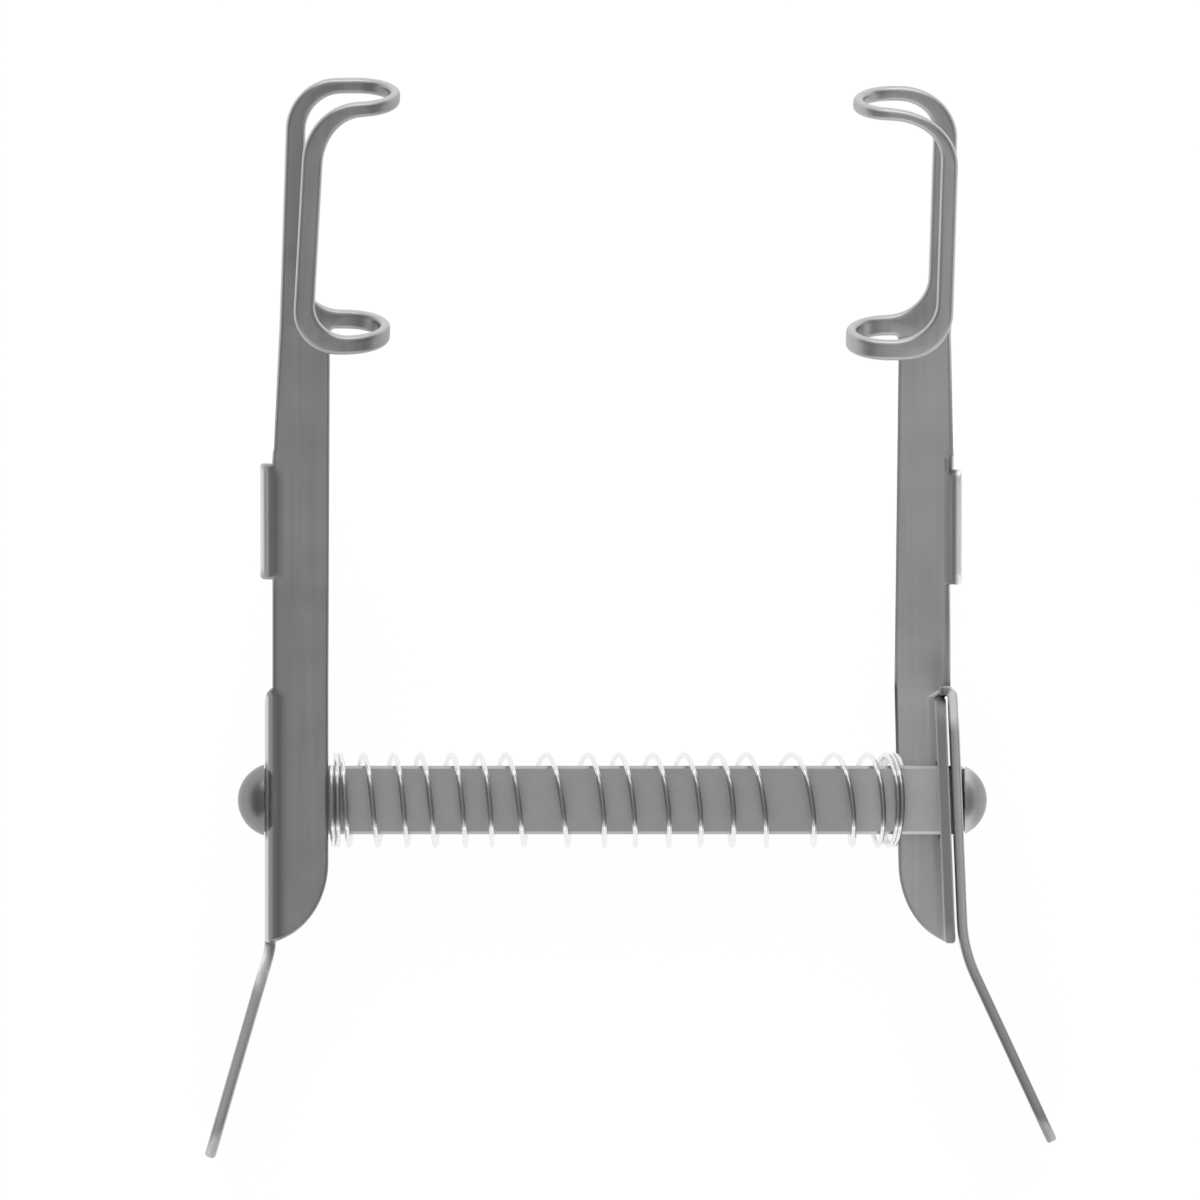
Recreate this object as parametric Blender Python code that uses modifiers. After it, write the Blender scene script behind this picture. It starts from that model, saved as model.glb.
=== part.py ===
"""Wire-sprung lid speculum with sliding arm and lock lever.

Metres, +Z up. The instrument lies on its back on a table: X runs along the crossbar, Y along the
arms towards the lid loops, and Z towards the side that faces the user.
"""
import math

import bmesh
import bpy
from mathutils import Matrix, Vector

# Sheet metal
SHEET = 0.0006              # arm sheet thickness
LEVER_SHEET = 0.00056       # lock lever sheet thickness
EDGE_BREAK = 0.0001         # chamfer on every cut sheet edge
FOLD_RADIUS = 0.0008        # mid-plane radius of the fold between cheek and web
LEAN_RADIUS = 0.0015        # mid-plane radius of the fold that leans the blades forward
LEFT_SPLAY_RADIUS = 0.0038  # mid-plane radius of the bend above the finger end
RIGHT_SPLAY_RADIUS = 0.0080

# Crossbar and its end buttons
BAR_SPAN = 0.03885          # between the flat faces of the two buttons
BAR_HEIGHT = 0.0038
BAR_THICK = 0.0016
BAR_CHAMFER = 0.00016
TENON_RADIUS = 0.0005
TENON_LENGTH = 0.0009
BUTTON_SPHERE = 0.00206
LEFT_BUTTON_HEIGHT = 0.00146
RIGHT_BUTTON_HEIGHT = 0.00122

# Clearances
SEAT_GAP = 0.00002          # parts that touch each other
BAR_CLEAR = 0.0001          # sliding fit of the bar in its holes
CHEEK_CLEAR = 0.00015       # between bar face and cheek
LEVER_PLAY = 0.00014        # between lock lever and right button
WEB_GAP = 0.00013           # between right web and lock lever at the bar

# Arm blank, heights above the bar axis measured along the flat sheet
CHEEK_WIDTH = 0.00305
WEB_DEPTH = 0.0055          # web depth from the outer cheek face
TAB_DEPTH = 0.0020          # depth of the leaned tab above the notch
CHEEK_FOOT = -0.00344       # where the lower curve of the cheek starts
FOOT_CURVE = 0.0045         # height of that curve
WEB_TOP = 0.0057
NOTCH_LOW = 0.00625
NOTCH_HIGH = 0.0123
TAB_TOP = 0.01905
TAB_OUT = (0.00072, 0.00067)    # left and right tab face beyond the notch edge
TAB_EDGE = (0.0, 0.0002)            # left and right cheek edge above the tab, beyond the notch edge
TAB_RAMP = 0.001            # height over which the tab's fold runs out
TAB_CORNER = 0.0007
WEB_CORNER = 0.0016
LEAN_ANGLE = math.radians(19.0)
LEFT_LEAN_LINE = 0.0110
RIGHT_LEAN_LINE = 0.0066

# Left blade
LEFT_BLADE = (0.0270, 0.0416)       # lowest and highest edge
LEFT_HOOK = 0.0045          # depth of the U between its mid-planes
LEFT_RAILS = (0.00108, 0.00088, 0.00076)    # bottom rail, top rail at the back and at the front
LEFT_RISE = 0.00011         # how much higher the top rail runs at the front
LEFT_BARS = (0.0011, 0.00115)       # back bar, front bar
LEFT_REACH = (0.00357, 0.00227)     # from the bend to the back bar's edge and the front bar's middle
LEFT_TOP_SHIFT = (0.00011, 0.0001)  # at their tops: back bar away from the bend, front bar towards it
LEFT_SLANT = 0.042          # how far the bend line leans in across the blade's height
LEFT_EDGE_IN = 0.00036      # how far the cheek edge at the blade is set in from the notch edge
LEFT_INNER = (0.0, -0.00011)        # shift of the inner cheek edge at its foot and at the blade
LEFT_BACK_CORNER = (0.0027, 0.0029)     # top corner of the back bar, outside
LEFT_FREE_CORNER = (0.0031, 0.0034)     # top corner of the front bar, outside
LEFT_WINDOW_FRONT = (0.0021, 0.0028)    # top corners of the window
LEFT_WINDOW_BACK = (0.0019, 0.0021)
LEFT_LOW_CORNER = 0.0026    # lower corner of the front bar, outside
LEFT_WINDOW_LOW = (0.0019, 0.0018)      # the same, in the window

# Right blade
RIGHT_BLADE = (0.02686, 0.0414)
RIGHT_HOOK = 0.0043
RIGHT_RAILS = (0.00117, 0.00084, 0.00056)
RIGHT_RISE = 0.00014
RIGHT_BARS = (0.00135, 0.00094)
RIGHT_REACH = (0.00341, 0.00296)
RIGHT_TOP_SHIFT = (0.0, 0.0)
RIGHT_SLANT = -0.028
RIGHT_EDGE_IN = -0.00005
RIGHT_INNER = (0.00022, 0.0002)
RIGHT_BACK_CORNER = (0.0033, 0.0031)
RIGHT_FREE_CORNER = (0.0041, 0.0034)
RIGHT_WINDOW_FRONT = (0.0029, 0.0023)
RIGHT_WINDOW_BACK = (0.0020, 0.0018)
RIGHT_LOW_CORNER = 0.0027
RIGHT_WINDOW_LOW = (0.0023, 0.0022)

# Corners that both blades share
WINDOW_LOW_BACK = 0.0023
INNER_FILLET = 0.0003       # between the inner cheek edge and the blade's lower edge

# Finger ends
LEFT_SPLAY_LINE = -0.0077
LEFT_SPLAY = math.radians(16.2)
RIGHT_SPLAY_LINE = -0.0067
RIGHT_SPLAY = math.radians(22.5)    # on top of the lever's own tilt
LEFT_TIP = -0.0203          # end of the finger plate, along the flat sheet
RIGHT_TIP = -0.0200
TIP_RADIUS = 0.0022

# Lock lever
LEVER_TILT = math.radians(2.4)
WEB_TILT = math.radians(2.3)
LEVER_TOP = 0.0057          # where its lip starts to curl over the web
LEVER_FRONT = 0.0034        # reach in front of the bar axis
LIP_RADIUS = 0.0004         # mid-plane radius of the lip
LIP_FLAT = 0.00035
LIP_CORNER = 0.0008

# Spring
SPRING_RADIUS = 0.00251     # to the wire centre
SPRING_WIRE = 0.00028
SPRING_TURNS = 21.65
SPRING_CLOSED_TURNS = 3     # at each end
SPRING_CLOSED_PITCH = 0.000295
SPRING_CROSSING = 0.117     # share of a turn from its top to the bar's upper edge in front
# Where the open turns cross that edge, as a share of the spring's length
SPRING_OPEN = (
    0.0630, 0.1165, 0.1635, 0.2188, 0.2672, 0.3156, 0.3900, 0.4626, 0.5162, 0.5767, 0.6320, 0.6908,
    0.7426, 0.8256, 0.8983, 0.9553,
)
SPRING_TILT = math.tan(math.radians(14.0))  # lean of the closed turns at the right end

# Everything below follows from the dimensions above
CHEEK_MID = BAR_THICK / 2 + CHEEK_CLEAR + SHEET / 2
BAR_Z = WEB_DEPTH - SHEET / 2 - CHEEK_MID
FOLD_OUT = FOLD_RADIUS + SHEET / 2
QUARTER = FOLD_RADIUS * math.pi / 2
LEFT_WEB_OUT = BAR_SPAN / 2 - SEAT_GAP
LEFT_NOTCH = LEFT_WEB_OUT - 0.8 * SHEET
LEVER_OUT = BAR_SPAN / 2 - LEVER_PLAY
LEVER_IN = LEVER_OUT - LEVER_SHEET
RIGHT_WEB_OUT = LEVER_IN - WEB_GAP
RIGHT_NOTCH = RIGHT_WEB_OUT


def material(name, colour, roughness):
    mat = bpy.data.materials.new(name)
    mat.use_nodes = True
    shader = mat.node_tree.nodes["Principled BSDF"]
    shader.inputs["Base Color"].default_value = (colour[0], colour[1], colour[2], 1.0)
    shader.inputs["Metallic"].default_value = 1.0
    shader.inputs["Roughness"].default_value = roughness
    mat.diffuse_color = (colour[0], colour[1], colour[2], 1.0)
    return mat


def arc(cx, cy, rx, ry, a0, a1, steps):
    """Points on an ellipse from angle a0 to a1, in degrees."""
    points = []
    for i in range(steps + 1):
        a = math.radians(a0 + (a1 - a0) * i / steps)
        points.append((cx + rx * math.cos(a), cy + ry * math.sin(a)))
    return points


def step_line(knots, v):
    """Value at v of the straight line through the (v, value) knots, held level beyond its ends."""
    if v <= knots[0][0]:
        return knots[0][1]
    for (v0, s0), (v1, s1) in zip(knots, knots[1:]):
        if v <= v1:
            return s0 + (s1 - s0) * (v - v0) / (v1 - v0)
    return knots[-1][1]


def smooth_line(knots, slopes, v):
    """Value at v of the smooth curve through the (v, value) knots with the given slopes."""
    for (v0, s0), (v1, s1), m0, m1 in zip(knots, knots[1:], slopes, slopes[1:]):
        if v <= v1:
            break
    span = v1 - v0
    u = (v - v0) / span
    rise = s0 * (1 + 2 * u) * (1 - u) ** 2 + s1 * u * u * (3 - 2 * u)
    return rise + span * (m0 * u * (1 - u) ** 2 - m1 * u * u * (1 - u))


def blank(loops, thickness):
    """Flat sheet with the given closed outlines, chamfered along its cut edges, as a bmesh."""
    curve = bpy.data.curves.new("blank", "CURVE")
    curve.dimensions = "2D"
    curve.fill_mode = "BOTH"
    curve.bevel_depth = EDGE_BREAK
    curve.bevel_resolution = 0
    curve.extrude = thickness / 2 - EDGE_BREAK
    curve.offset = -EDGE_BREAK
    for loop in loops:
        spline = curve.splines.new("POLY")
        spline.points.add(len(loop) - 1)
        for point, (s, v) in zip(spline.points, loop):
            point.co = (s, v, 0.0, 1.0)
        spline.use_cyclic_u = True
    holder = bpy.data.objects.new("blank", curve)
    bpy.context.scene.collection.objects.link(holder)
    bpy.context.view_layer.update()
    mesh = bpy.data.meshes.new_from_object(holder)
    bm = bmesh.new()
    bm.from_mesh(mesh)
    bpy.data.objects.remove(holder)
    bpy.data.curves.remove(curve)
    bpy.data.meshes.remove(mesh)
    bmesh.ops.remove_doubles(bm, verts=bm.verts, dist=1e-7)
    bmesh.ops.recalc_face_normals(bm, faces=bm.faces)
    return bm


def score(bm, values, axis, keep=None):
    """Cut edge lines across the sheet at the given values of one axis."""
    for value in values:
        faces = [f for f in bm.faces if keep is None or keep(f.calc_center_median())]
        geom = set(faces)
        for face in faces:
            geom.update(face.edges)
            geom.update(face.verts)
        point = [0.0, 0.0, 0.0]
        normal = [0.0, 0.0, 0.0]
        point[axis] = value
        normal[axis] = 1.0
        bmesh.ops.bisect_plane(bm, geom=list(geom), dist=1e-7, plane_co=point, plane_no=normal)


def bend_stations(start, length, steps):
    return [start + length * i / steps for i in range(steps + 1)]


def curl(offset, height, start, radius, angle):
    """Bend a strip at start by angle towards +height; beyond the bend it runs straight on."""
    along = offset - start
    if along <= 0.0:
        return offset, height
    length = radius * angle
    a = min(along, length) / radius
    x = start + (radius - height) * math.sin(a)
    y = radius - (radius - height) * math.cos(a)
    rest = max(0.0, along - length)
    return x + rest * math.cos(angle), y + rest * math.sin(angle)


def finish_object(name, bm, origin, collection, mat, sharp=35.0):
    mesh = bpy.data.meshes.new(name)
    bmesh.ops.recalc_face_normals(bm, faces=bm.faces)
    bm.transform(Matrix.Translation(-Vector(origin)))
    bm.to_mesh(mesh)
    bm.free()
    for poly in mesh.polygons:
        poly.use_smooth = True
    mesh.set_sharp_from_angle(angle=math.radians(sharp))
    obj = bpy.data.objects.new(name, mesh)
    obj.location = origin
    if mat is not None:
        mesh.materials.append(mat)
    collection.objects.link(obj)
    return obj


def cut(obj, tool, operation="DIFFERENCE"):
    mod = obj.modifiers.new(tool.name, "BOOLEAN")
    mod.object = tool
    mod.operation = operation
    mod.solver = "EXACT"


def box_bmesh(size, centre):
    bm = bmesh.new()
    bmesh.ops.create_cube(bm, size=1.0)
    bmesh.ops.scale(bm, vec=size, verts=bm.verts)
    bmesh.ops.translate(bm, vec=centre, verts=bm.verts)
    return bm


def make_arm(name, side, collection, cutters, mat):
    """One stamped arm. side is -1 for the left arm, whose cheek is in front, +1 for the right one."""
    left = side < 0
    notch = LEFT_NOTCH if left else RIGHT_NOTCH
    web_out = LEFT_WEB_OUT if left else RIGHT_WEB_OUT
    inner = notch - CHEEK_WIDTH
    tilt = 0.0 if left else math.tan(WEB_TILT)
    strip_low, blade_top = LEFT_BLADE if left else RIGHT_BLADE
    shift_foot, shift_blade = LEFT_INNER if left else RIGHT_INNER
    lean_line = LEFT_LEAN_LINE if left else RIGHT_LEAN_LINE
    hook = (LEFT_HOOK if left else RIGHT_HOOK) / 2
    rail_low, rail_back, rail_front = LEFT_RAILS if left else RIGHT_RAILS
    rise = LEFT_RISE if left else RIGHT_RISE
    bar_back, bar_front = LEFT_BARS if left else RIGHT_BARS
    reach_back, reach_front = LEFT_REACH if left else RIGHT_REACH
    shift_back, shift_front = LEFT_TOP_SHIFT if left else RIGHT_TOP_SHIFT
    edge_in = LEFT_EDGE_IN if left else RIGHT_EDGE_IN
    slant = LEFT_SLANT if left else RIGHT_SLANT
    web_low = CHEEK_FOOT - FOOT_CURVE
    web_fold = web_out - FOLD_OUT
    tab_fold = notch + (TAB_OUT[0] if left else TAB_OUT[1]) - FOLD_OUT
    rake = math.tan(LEAN_ANGLE) * side
    tab_end = TAB_TOP + TAB_DEPTH * abs(rake)
    away = notch + 2 * SHEET

    # Where the fold between cheek and web starts, for each height
    fold_knots = [
        (web_low, web_fold - tilt * web_low),
        (WEB_TOP, web_fold - tilt * WEB_TOP),
        (NOTCH_LOW, tab_fold),
        (tab_end, tab_fold),
        (tab_end + TAB_RAMP, away),
    ]
    # Where the blade starts to turn forward into its U
    edge_out = notch - edge_in
    turn_low = edge_out - reach_back

    def fold(v):
        return step_line(fold_knots, v)

    def turn(v):
        return turn_low - slant * (v - strip_low)

    def blade_arc(p, v, rx, ry, a0, a1):
        """Corner of the blade, p measured inwards from the turn line."""
        return [(turn(y) - x, y) for x, y in arc(p, v, rx, ry, a0, a1, 8)]

    web_edge = QUARTER + 0.15 * SHEET
    web_far = QUARTER + WEB_DEPTH - SHEET / 2 - FOLD_RADIUS
    tab_far = QUARTER + TAB_DEPTH - SHEET / 2 - FOLD_RADIUS
    front_mid = math.pi * hook + reach_front
    front_far = front_mid + bar_front / 2
    front_near = front_mid - bar_front / 2
    strip_top = strip_low + rail_low

    outline = []
    # Lower curve of the cheek, from the web to the inner edge
    centre = fold(web_low) + web_edge
    outline += arc(centre, CHEEK_FOOT, centre - inner - shift_foot, FOOT_CURVE, 270, 180, 12)
    # Inner edge up to the blade, then the blade's outline
    outline.append((inner, NOTCH_LOW))
    inner_top = inner + shift_blade
    c = INNER_FILLET
    outline += arc(inner_top - c, strip_low - c, c, c, 0, 90, 3)
    c = LEFT_LOW_CORNER if left else RIGHT_LOW_CORNER
    outline += blade_arc(front_far - c, strip_low + c, c, c, 270, 360)
    rx, ry = LEFT_FREE_CORNER if left else RIGHT_FREE_CORNER
    outline += blade_arc(front_far - shift_front - rx, blade_top + rise - ry, rx, ry, 0, 90)
    rx, ry = LEFT_BACK_CORNER if left else RIGHT_BACK_CORNER
    outline += blade_arc(-reach_back - shift_back + rx, blade_top - ry, rx, ry, 90, 180)
    # Outer edge down to the tab
    outline.append((turn(strip_low) + reach_back, strip_low))
    outline.append((notch + (TAB_EDGE[0] if left else TAB_EDGE[1]), TAB_TOP))
    c = TAB_CORNER
    tab = arc(tab_far - c, TAB_TOP - c, c, c, 90, 0, 4)
    tab += arc(tab_far - c, NOTCH_HIGH + c, c, c, 0, -90, 4)
    # Its edges are raked so that they come level once the blade leans
    outline += [(tab_fold + x, y + rake * max(0.0, x - QUARTER / 2)) for x, y in tab]
    outline.append((notch, NOTCH_HIGH))
    outline.append((notch, NOTCH_LOW))
    # Web, with the left one running on into the finger end
    outline.append((fold(WEB_TOP) + QUARTER, WEB_TOP))
    c = WEB_CORNER
    outline += [(fold(y) + x, y) for x, y in arc(web_far - c, WEB_TOP - c, c, c, 90, 0, 6)]
    if left:
        # The finger end widens forward below the cheek
        tip = LEFT_TIP
        low = fold(web_low)
        pad = QUARTER - FOLD_RADIUS + CHEEK_MID - LEVER_FRONT
        c = TIP_RADIUS
        finger = arc(web_far - c, tip + c, c, c, 0, -90, 8)
        finger += arc(pad + c, tip + c, c, c, 270, 180, 8)
        c = (web_edge - pad) / 2
        finger += arc(pad + c, web_low - 2 * c, c, c, 180, 90, 5)
        finger += arc(pad + c, web_low, c, c, 270, 350, 5)
        outline += [(low + x, y) for x, y in finger]
    else:
        outline += [(fold(y) + x, y) for x, y in arc(web_far - c, web_low + c, c, c, 0, -90, 6)]

    window = []
    rx, ry = LEFT_WINDOW_LOW if left else RIGHT_WINDOW_LOW
    window += blade_arc(front_near - rx, strip_top + ry, rx, ry, 270, 360)
    rx, ry = LEFT_WINDOW_FRONT if left else RIGHT_WINDOW_FRONT
    window += blade_arc(front_near - shift_front - rx, blade_top - rail_front - ry, rx, ry, 0, 90)
    back_near = -reach_back + bar_back
    rx, ry = LEFT_WINDOW_BACK if left else RIGHT_WINDOW_BACK
    window += blade_arc(back_near - shift_back + rx, blade_top - rail_back - ry, rx, ry, 90, 180)
    c = WINDOW_LOW_BACK
    window += blade_arc(back_near + c, strip_top + c, c, c, 180, 270)
    window.reverse()

    bm = blank([outline, window], SHEET)
    lean = bend_stations(lean_line, LEAN_RADIUS * LEAN_ANGLE, 3)
    lines = [web_low, WEB_TOP, NOTCH_LOW, NOTCH_HIGH, TAB_TOP, tab_end, tab_end + TAB_RAMP] + lean
    score(bm, lines, 1)
    if left:
        splay = LEFT_SPLAY
        stations = bend_stations(0.0, LEFT_SPLAY_RADIUS * splay, 4)
        score(bm, [LEFT_SPLAY_LINE - s for s in stations], 1, lambda c: c.y < web_low)
    for vert in bm.verts:
        vert.co.x -= fold(vert.co.y)
    score(bm, bend_stations(0.0, QUARTER, 5), 0, lambda c: web_low < c.y < tab_end + TAB_RAMP)
    for vert in bm.verts:
        vert.co.x += fold(vert.co.y)
    for vert in bm.verts:
        vert.co.x = turn(vert.co.y) - vert.co.x
    score(bm, bend_stations(0.0, math.pi * hook, 14), 0, lambda c: c.y > strip_low - 0.0001)
    for vert in bm.verts:
        vert.co.x = turn(vert.co.y) - vert.co.x

    forward = -1.0 if left else 1.0     # sign of the forward direction seen from the flange side
    for vert in bm.verts:
        s, v, w = vert.co
        # w runs towards the flange side of the sheet
        if v > strip_low - 0.0001 and turn(v) - s > 0.0:
            p, n = curl(turn(v) - s, forward * w, 0.0, hook, math.pi)
            s = turn(v) - p
            w = forward * n
        if v < web_low - 1e-7:
            w, s = FOLD_RADIUS + s - fold(v) - QUARTER, fold(v) + FOLD_RADIUS - w
        elif v < tab_end + TAB_RAMP:
            base = fold(v)
            x, w = curl(s - base, w, 0.0, FOLD_RADIUS, math.pi / 2)
            s = base + x
        if v > lean_line:
            v, n = curl(v, forward * w, lean_line, LEAN_RADIUS, LEAN_ANGLE)
            w = forward * n
        if left and v < LEFT_SPLAY_LINE:
            middle = fold(web_low) + FOLD_RADIUS
            down, out = curl(-v, s - middle, -LEFT_SPLAY_LINE, LEFT_SPLAY_RADIUS, LEFT_SPLAY)
            v = -down
            s = middle + out
        mid = CHEEK_MID if left else -CHEEK_MID
        vert.co = (side * s, v, BAR_Z + mid - forward * -w)
    bmesh.ops.triangulate(bm, faces=bm.faces)
    origin = (0.0, 0.0, BAR_Z) if left else (side * web_out, 0.0, BAR_Z)
    arm = finish_object(name, bm, origin, collection, mat)

    # Hole of the crossbar through the web
    tool = box_bmesh(
        (4 * SHEET, BAR_HEIGHT + 2 * BAR_CLEAR, BAR_THICK + 2 * BAR_CLEAR),
        (side * (web_out - 0.3 * SHEET), 0.0, BAR_Z),
    )
    hole = finish_object(name + "_bar_hole", tool, (side * web_out, 0.0, BAR_Z), cutters, None)
    cut(arm, hole)
    return arm


def make_lever(collection, cutters, mat):
    """Lock lever outside the right web: lip at its top, hole for the bar, splayed finger end."""
    back = BAR_Z
    front = LEVER_FRONT
    lip = LIP_RADIUS * math.pi / 2 + LIP_FLAT
    lip_back = -BAR_THICK / 2 + BAR_CLEAR
    tip = RIGHT_TIP
    top = LEVER_TOP - BAR_CLEAR * 2
    outline = []
    # Depth towards the user along x, height along y
    c = LIP_CORNER
    outline += arc(front - c, LEVER_TOP + lip - c, c, c, 0, 90, 4)
    outline += [(lip_back, LEVER_TOP + lip), (lip_back, top)]
    c = WEB_CORNER
    outline += arc(-back + c, top - c, c, c, 90, 180, 6)
    c = TIP_RADIUS
    outline += arc(-back + c, tip + c, c, c, 180, 270, 8)
    outline += arc(front - c, tip + c, c, c, 270, 360, 8)
    bm = blank([outline], LEVER_SHEET)
    score(bm, bend_stations(LEVER_TOP, LIP_RADIUS * math.pi / 2, 4), 1)
    stations = bend_stations(0.0, RIGHT_SPLAY_RADIUS * RIGHT_SPLAY, 6)
    score(bm, [RIGHT_SPLAY_LINE - s for s in stations], 1)
    middle = LEVER_IN + LEVER_SHEET / 2
    hinge = Vector((LEVER_IN, LEVER_TOP, BAR_Z))
    turn = Matrix.Rotation(LEVER_TILT, 4, "Z")
    for vert in bm.verts:
        depth, v, w = vert.co
        s = middle + w
        if v > LEVER_TOP:
            v, n = curl(v, -w, LEVER_TOP, LIP_RADIUS, math.pi / 2)
            s = middle - n
        elif v < RIGHT_SPLAY_LINE:
            down, out = curl(-v, w, -RIGHT_SPLAY_LINE, RIGHT_SPLAY_RADIUS, RIGHT_SPLAY)
            v = -down
            s = middle + out
        vert.co = (s, v, BAR_Z + depth)
    # Tilt about the bar so that the play at the bar stays as stated
    pivot = Vector((middle, 0.0, BAR_Z))
    move = Matrix.Translation(pivot) @ turn @ Matrix.Translation(-pivot)
    bm.transform(move)
    bmesh.ops.triangulate(bm, faces=bm.faces)
    origin = move @ hinge
    lever = finish_object("lock_lever", bm, origin, collection, mat)
    tool = box_bmesh(
        (4 * SHEET, BAR_HEIGHT + 2 * BAR_CLEAR, BAR_THICK + 2 * BAR_CLEAR),
        (middle, 0.0, BAR_Z),
    )
    hole = finish_object("lock_lever_bar_hole", tool, pivot, cutters, None)
    cut(lever, hole)
    return lever


def make_crossbar(collection, cutters, mat):
    bm = box_bmesh((BAR_SPAN, BAR_HEIGHT, BAR_THICK), (0.0, 0.0, BAR_Z))
    bmesh.ops.bevel(
        bm, geom=list(bm.edges), offset=BAR_CHAMFER, segments=1, affect="EDGES", profile=0.5
    )
    bar = finish_object("crossbar", bm, (0.0, 0.0, BAR_Z), collection, mat, 20.0)
    for name, side in (("left_tenon", -1), ("right_tenon", 1)):
        bm = bmesh.new()
        length = TENON_LENGTH * 2
        bmesh.ops.create_cone(
            bm, cap_ends=True, segments=24, radius1=TENON_RADIUS, radius2=TENON_RADIUS, depth=length
        )
        bm.transform(Matrix.Rotation(math.pi / 2, 4, "Y"))
        centre = (side * BAR_SPAN / 2, 0.0, BAR_Z)
        bmesh.ops.translate(bm, vec=centre, verts=bm.verts)
        tool = finish_object(name, bm, centre, cutters, None)
        cut(bar, tool, "UNION")
    return bar


def make_button(name, side, height, collection, mat):
    """Domed button turned about the bar axis, with a blind hole for the tenon."""
    rise = BUTTON_SPHERE - height
    bore = TENON_RADIUS + SEAT_GAP
    depth = TENON_LENGTH + SEAT_GAP
    profile = []
    steps = 10
    end = math.acos(rise / BUTTON_SPHERE)
    for i in range(steps + 1):
        a = end * i / steps
        profile.append((BUTTON_SPHERE * math.sin(a), BUTTON_SPHERE * math.cos(a) - rise))
    profile += [(bore, 0.0), (bore, depth), (0.0, depth)]
    mesh = bpy.data.meshes.new(name)
    verts = [(r, 0.0, h) for r, h in profile]
    mesh.from_pydata(verts, [(i, i + 1) for i in range(len(verts) - 1)], [])
    mesh.materials.append(mat)
    obj = bpy.data.objects.new(name, mesh)
    collection.objects.link(obj)
    obj.location = (side * (BAR_SPAN / 2 + SEAT_GAP), 0.0, BAR_Z)
    obj.rotation_euler = (0.0, side * math.pi / 2, 0.0)
    screw = obj.modifiers.new("turn", "SCREW")
    screw.axis = "Z"
    screw.steps = 32
    screw.render_steps = 32
    screw.use_merge_vertices = True
    screw.merge_threshold = 0.00001
    screw.use_smooth_shade = True
    return obj


def make_spring(collection, mat):
    """Compression spring on the crossbar with closed end turns."""
    start = -(LEFT_NOTCH - CHEEK_WIDTH) + SPRING_WIRE / 2 + SEAT_GAP
    touch = math.sqrt(SPRING_RADIUS ** 2 - CHEEK_MID ** 2)
    slope = RIGHT_INNER[0] / (NOTCH_LOW - CHEEK_FOOT)
    edge = RIGHT_NOTCH - CHEEK_WIDTH + slope * (NOTCH_LOW - touch)
    # The last turn leans on the front corner of the cheek's inner edge
    stop = edge - SPRING_WIRE / 2 - SEAT_GAP + SPRING_TILT * (CHEEK_MID - SHEET / 2)
    length = stop - start
    pitch = SPRING_CLOSED_PITCH
    first_open = SPRING_CLOSED_TURNS + SPRING_CROSSING
    last_open = first_open + len(SPRING_OPEN) - 1
    knots = [(0.0, 0.0), (first_open - 1, (first_open - 1) * pitch)]
    knots += [(first_open + k, share * length) for k, share in enumerate(SPRING_OPEN)]
    knots.append((last_open + 1, length - (SPRING_TURNS - last_open - 1) * pitch))
    knots.append((SPRING_TURNS, length))
    slopes = [pitch, pitch]
    for before, after in zip(knots[1:-3], knots[3:-1]):
        slopes.append((after[1] - before[1]) / (after[0] - before[0]))
    slopes += [pitch, pitch]
    per_turn = 14
    count = round(SPRING_TURNS * per_turn)
    curve = bpy.data.curves.new("spring", "CURVE")
    curve.dimensions = "3D"
    curve.bevel_depth = SPRING_WIRE / 2
    curve.bevel_resolution = 2
    curve.use_fill_caps = True
    spline = curve.splines.new("POLY")
    spline.points.add(count)
    for i in range(count + 1):
        t = SPRING_TURNS * i / count
        a = t * 2 * math.pi
        x = start + smooth_line(knots, slopes, t)
        y = SPRING_RADIUS * math.cos(a)
        z = SPRING_RADIUS * math.sin(a)
        lean = min(1.0, max(0.0, (t - SPRING_CLOSED_TURNS) / len(SPRING_OPEN)))
        x += lean * SPRING_TILT * z
        spline.points[i].co = (x - start, y, z, 1.0)
    obj = bpy.data.objects.new("spring", curve)
    obj.location = (start, 0.0, BAR_Z)
    curve.materials.append(mat)
    collection.objects.link(obj)
    return obj


def main():
    for obj in list(bpy.data.objects):
        bpy.data.objects.remove(obj)
    scene = bpy.context.scene
    parts = bpy.data.collections.new("eye_speculum")
    cutters = bpy.data.collections.new("cutters")
    scene.collection.children.link(parts)
    scene.collection.children.link(cutters)

    make_arm("left_arm", -1, parts, cutters, material("left_arm_steel", (0.52, 0.52, 0.53), 0.32))
    make_arm("right_arm", 1, parts, cutters, material("right_arm_steel", (0.58, 0.58, 0.59), 0.32))
    make_lever(parts, cutters, material("lock_lever_steel", (0.55, 0.55, 0.56), 0.32))
    make_crossbar(parts, cutters, material("crossbar_steel", (0.58, 0.58, 0.59), 0.28))
    left_steel = material("left_button_steel", (0.50, 0.50, 0.51), 0.3)
    right_steel = material("right_button_steel", (0.50, 0.50, 0.51), 0.3)
    make_button("left_end_button", -1, LEFT_BUTTON_HEIGHT, parts, left_steel)
    make_button("right_end_button", 1, RIGHT_BUTTON_HEIGHT, parts, right_steel)
    make_spring(parts, material("spring_steel", (0.66, 0.66, 0.67), 0.2))

    for tool in cutters.objects:
        tool.hide_render = True
        tool.display_type = "WIRE"

    # Stand the origin under the middle of the whole instrument
    bpy.context.view_layer.update()
    graph = bpy.context.evaluated_depsgraph_get()
    low = Vector((1e9, 1e9, 1e9))
    high = Vector((-1e9, -1e9, -1e9))
    for obj in parts.objects:
        shape = obj.evaluated_get(graph)
        mesh = shape.to_mesh()
        for vert in mesh.vertices:
            point = shape.matrix_world @ vert.co
            for k in range(3):
                low[k] = min(low[k], point[k])
                high[k] = max(high[k], point[k])
        shape.to_mesh_clear()
    shift = Vector((-(low.x + high.x) / 2, -(low.y + high.y) / 2, -low.z))
    for obj in list(parts.objects) + list(cutters.objects):
        obj.location = obj.location + shift


main()
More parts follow.
